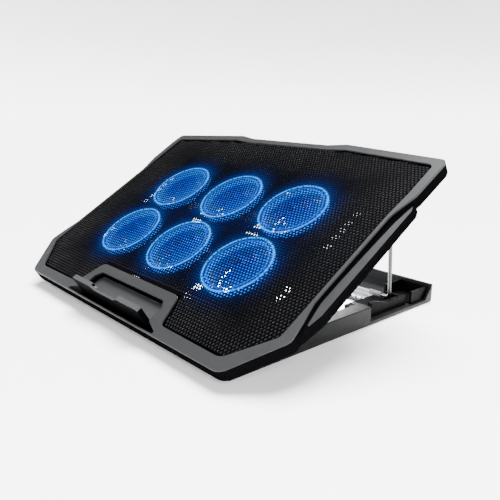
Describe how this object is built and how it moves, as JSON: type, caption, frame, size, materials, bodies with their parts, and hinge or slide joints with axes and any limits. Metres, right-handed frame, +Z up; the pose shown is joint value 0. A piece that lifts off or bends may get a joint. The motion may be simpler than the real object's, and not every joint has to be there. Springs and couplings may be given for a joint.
{
  "type": "laptop cooling pad",
  "caption": "Tilting cooling pad with lit fans under a perforated top, flip-up stopper, wire prop and toothed folding stand.",
  "frame": {"origin": "middle of the whole object's footprint, on the surface that it stands on", "axes": "+X to the right along the longest side, +Y to the rear, +Z up"},
  "size_m": [0.4076, 0.3022, 0.1635],
  "materials": {
    "bezel_grey": "satin metallic paint",
    "panel_grey": "satin metallic paint",
    "strip_grey": "satin metallic paint",
    "mesh_black": "fine black powder coat",
    "shell_black": "fine spark texture",
    "stopper_grey": "satin",
    "rotor_blue": "translucent, lit from inside",
    "fan_black": "moulded",
    "led_blue": "glowing light guide",
    "steel": "drawn wire",
    "screw_black": "black zinc",
    "board_green": "solder mask",
    "port_metal": "stamped shell",
    "control_black": "moulded",
    "lead_black": "insulated wire",
    "sleeve_grey": "soft sleeve",
    "stand_grey": "fine spark texture",
    "rack_black": "moulded",
    "plate_bright": "satin sheet",
    "foot_rubber": "soft"
  },
  "bodies": {
    "stand": {"stand_frame": "stand_grey", "rack_right": "rack_black", "rack_left": "rack_black", "cross_plate": "plate_bright", "end_pocket_right": "rack_black", "end_pocket_left": "rack_black", "hinge_pins": "steel", "rubber_feet": "foot_rubber", "stand_screws": "screw_black"},
    "prop": {"wire_prop": "steel", "prop_sleeves": "sleeve_grey"},
    "pad": {"bezel_frame": "bezel_grey", "mesh_panel": "mesh_black", "lower_shell": "shell_black", "fan_grille_front": "shell_black", "fan_grille_rear": "shell_black", "side_strip_right": "strip_grey", "side_strip_left": "strip_grey", "stopper_tray": "shell_black", "recess_panel": "panel_grey", "stopper_pin": "steel", "fan_housing_1": "fan_black", "led_ring_1": "led_blue", "fan_housing_2": "fan_black", "led_ring_2": "led_blue", "fan_housing_3": "fan_black", "led_ring_3": "led_blue", "fan_housing_4": "fan_black", "led_ring_4": "led_blue", "fan_housing_5": "fan_black", "led_ring_5": "led_blue", "fan_housing_6": "fan_black", "led_ring_6": "led_blue", "fan_axles": "steel", "fan_clamps": "shell_black", "fan_screws": "screw_black", "control_board": "board_green", "usb_port_left": "port_metal", "usb_port_right": "port_metal", "dial_axle": "steel", "fan_wiring": "lead_black", "shell_screws": "screw_black", "hinge_brackets": "shell_black", "prop_clips": "shell_black"},
    "rotor_1": {"fan_rotor_1": "rotor_blue"},
    "rotor_2": {"fan_rotor_2": "rotor_blue"},
    "rotor_3": {"fan_rotor_3": "rotor_blue"},
    "rotor_4": {"fan_rotor_4": "rotor_blue"},
    "rotor_5": {"fan_rotor_5": "rotor_blue"},
    "rotor_6": {"fan_rotor_6": "rotor_blue"},
    "stopper": {"stopper": "stopper_grey"},
    "dial": {"speed_dial": "control_black"},
    "button": {"light_button": "control_black"}
  },
  "joints": [
    {"name": "pad_tilt", "type": "hinge", "parent": "stand", "child": "pad", "pos_m": [0, -0.12011, 0.0159], "axis": [1, 0, 0], "range_deg": [0, 12]},
    {"name": "prop_swing", "type": "hinge", "parent": "pad", "child": "prop", "pos_m": [0, 0.08694, 0.13926], "axis": [1, 0, 0], "range_deg": [-64, 0]},
    {"name": "stopper_flip", "type": "hinge", "parent": "pad", "child": "stopper", "pos_m": [0, -0.13884, 0.01967], "axis": [1, 0, 0], "range_deg": [-90, 0]},
    {"name": "fan_spin_1", "type": "hinge", "parent": "pad", "child": "rotor_1", "pos_m": [-0.09, -0.05719, 0.05293], "axis": [0, -0.5225, 0.8526], "continuous": true},
    {"name": "fan_spin_2", "type": "hinge", "parent": "pad", "child": "rotor_2", "pos_m": [0, -0.05719, 0.05293], "axis": [0, -0.5225, 0.8526], "continuous": true},
    {"name": "fan_spin_3", "type": "hinge", "parent": "pad", "child": "rotor_3", "pos_m": [0.09, -0.05719, 0.05293], "axis": [0, -0.5225, 0.8526], "continuous": true},
    {"name": "fan_spin_4", "type": "hinge", "parent": "pad", "child": "rotor_4", "pos_m": [-0.09, 0.01102, 0.09473], "axis": [0, -0.5225, 0.8526], "continuous": true},
    {"name": "fan_spin_5", "type": "hinge", "parent": "pad", "child": "rotor_5", "pos_m": [0, 0.01102, 0.09473], "axis": [0, -0.5225, 0.8526], "continuous": true},
    {"name": "fan_spin_6", "type": "hinge", "parent": "pad", "child": "rotor_6", "pos_m": [0.09, 0.01102, 0.09473], "axis": [0, -0.5225, 0.8526], "continuous": true},
    {"name": "dial_turn", "type": "hinge", "parent": "pad", "child": "dial", "pos_m": [0.028, 0.08539, 0.15309], "axis": [0, -0.5225, 0.8526], "range_deg": [-135, 135]},
    {"name": "button_press", "type": "slide", "parent": "pad", "child": "button", "axis": [0, -0.8526, -0.5225], "range_m": [0, 0.001], "stiffness_N_per_m": 300}
  ]
}
